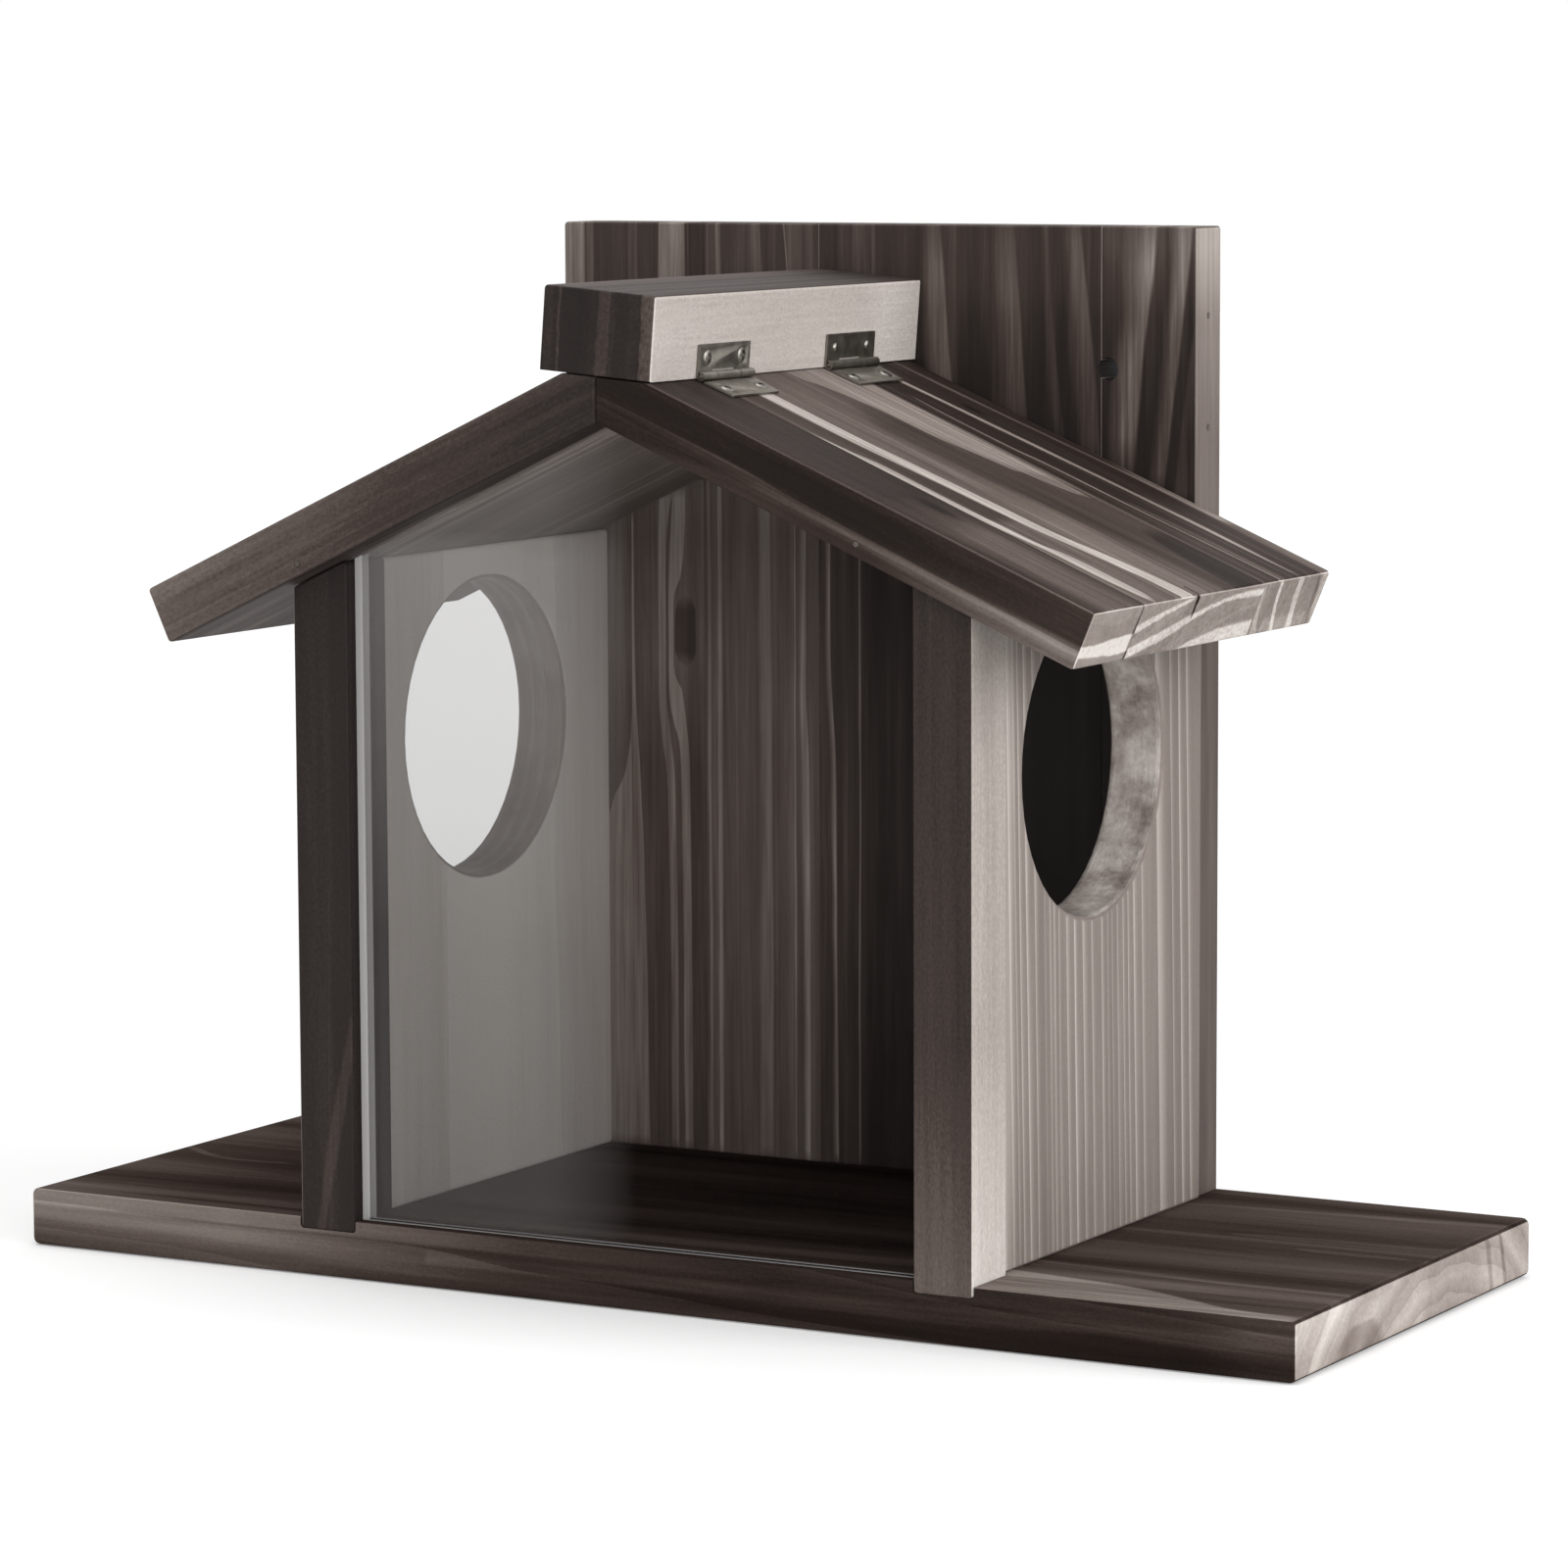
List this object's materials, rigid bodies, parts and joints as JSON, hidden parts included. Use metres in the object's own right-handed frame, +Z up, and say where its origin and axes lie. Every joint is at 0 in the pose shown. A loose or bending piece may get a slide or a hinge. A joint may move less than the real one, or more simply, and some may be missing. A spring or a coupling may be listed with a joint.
{
  "type": "squirrel feeder box",
  "caption": "House-shaped wooden squirrel feeder box with a clear front, a round entry hole in each side, a wide base shelf and half of the pitched roof hinged as a lid.",
  "frame": {"origin": "on the ground below the middle of the object: the middle of the base's width, and of the depth from the roof's front edge to the back board's rear face", "axes": "+X to the right along the base shelf, +Y to the back towards the wall, +Z up"},
  "size_m": [0.365, 0.1534, 0.2671],
  "materials": {
    "stained_wood": "dark charcoal-brown stained softwood, satin, strong grain",
    "clear_acrylic": "clear polished sheet",
    "hinge_steel": "nickel-plated sheet, satin",
    "screw_steel": "zinc-plated"
  },
  "bodies": {
    "house": {"acrylic_window": "clear_acrylic", "back_board_nail_1": "screw_steel", "back_board_nail_2": "screw_steel", "back_board_stave_1": "stained_wood", "back_board_stave_2": "stained_wood", "back_board_stave_3": "stained_wood", "back_board_stave_4": "stained_wood", "base_board": "stained_wood", "base_screw_back_left": "screw_steel", "base_screw_back_right": "screw_steel", "base_screw_left_front": "screw_steel", "base_screw_left_post": "screw_steel", "base_screw_left_rear": "screw_steel", "base_screw_right_front": "screw_steel", "base_screw_right_post": "screw_steel", "base_screw_right_rear": "screw_steel", "front_hinge_fixed_leaf": "hinge_steel", "front_hinge_fixed_leaf_screw_1": "screw_steel", "front_hinge_fixed_leaf_screw_2": "screw_steel", "front_hinge_pin": "hinge_steel", "left_post": "stained_wood", "left_roof_front_nail": "screw_steel", "left_roof_stave_1": "stained_wood", "left_roof_stave_2": "stained_wood", "left_roof_stave_3": "stained_wood", "left_side_panel": "stained_wood", "rear_hinge_fixed_leaf": "hinge_steel", "rear_hinge_fixed_leaf_screw_1": "screw_steel", "rear_hinge_fixed_leaf_screw_2": "screw_steel", "rear_hinge_pin": "hinge_steel", "rear_screw_block": "screw_steel", "rear_screw_left_lower": "screw_steel", "rear_screw_left_upper": "screw_steel", "rear_screw_right_lower": "screw_steel", "rear_screw_right_upper": "screw_steel", "rear_screw_roof": "screw_steel", "ridge_block": "stained_wood", "right_post": "stained_wood", "right_side_panel": "stained_wood", "roof_nail_1": "screw_steel", "roof_nail_2": "screw_steel"},
    "lid": {"front_hinge_moving_leaf": "hinge_steel", "front_hinge_moving_leaf_screw_1": "screw_steel", "front_hinge_moving_leaf_screw_2": "screw_steel", "lid_front_nail": "screw_steel", "lid_stave_1": "stained_wood", "lid_stave_2": "stained_wood", "lid_stave_3": "stained_wood", "rear_hinge_moving_leaf": "hinge_steel", "rear_hinge_moving_leaf_screw_1": "screw_steel", "rear_hinge_moving_leaf_screw_2": "screw_steel"}
  },
  "joints": [
    {"name": "lid_hinge", "type": "hinge", "parent": "house", "child": "lid", "pos_m": [0.01487, -0.00912, 0.23243], "axis": [0, -1, 0], "range_deg": [0, 105]}
  ]
}
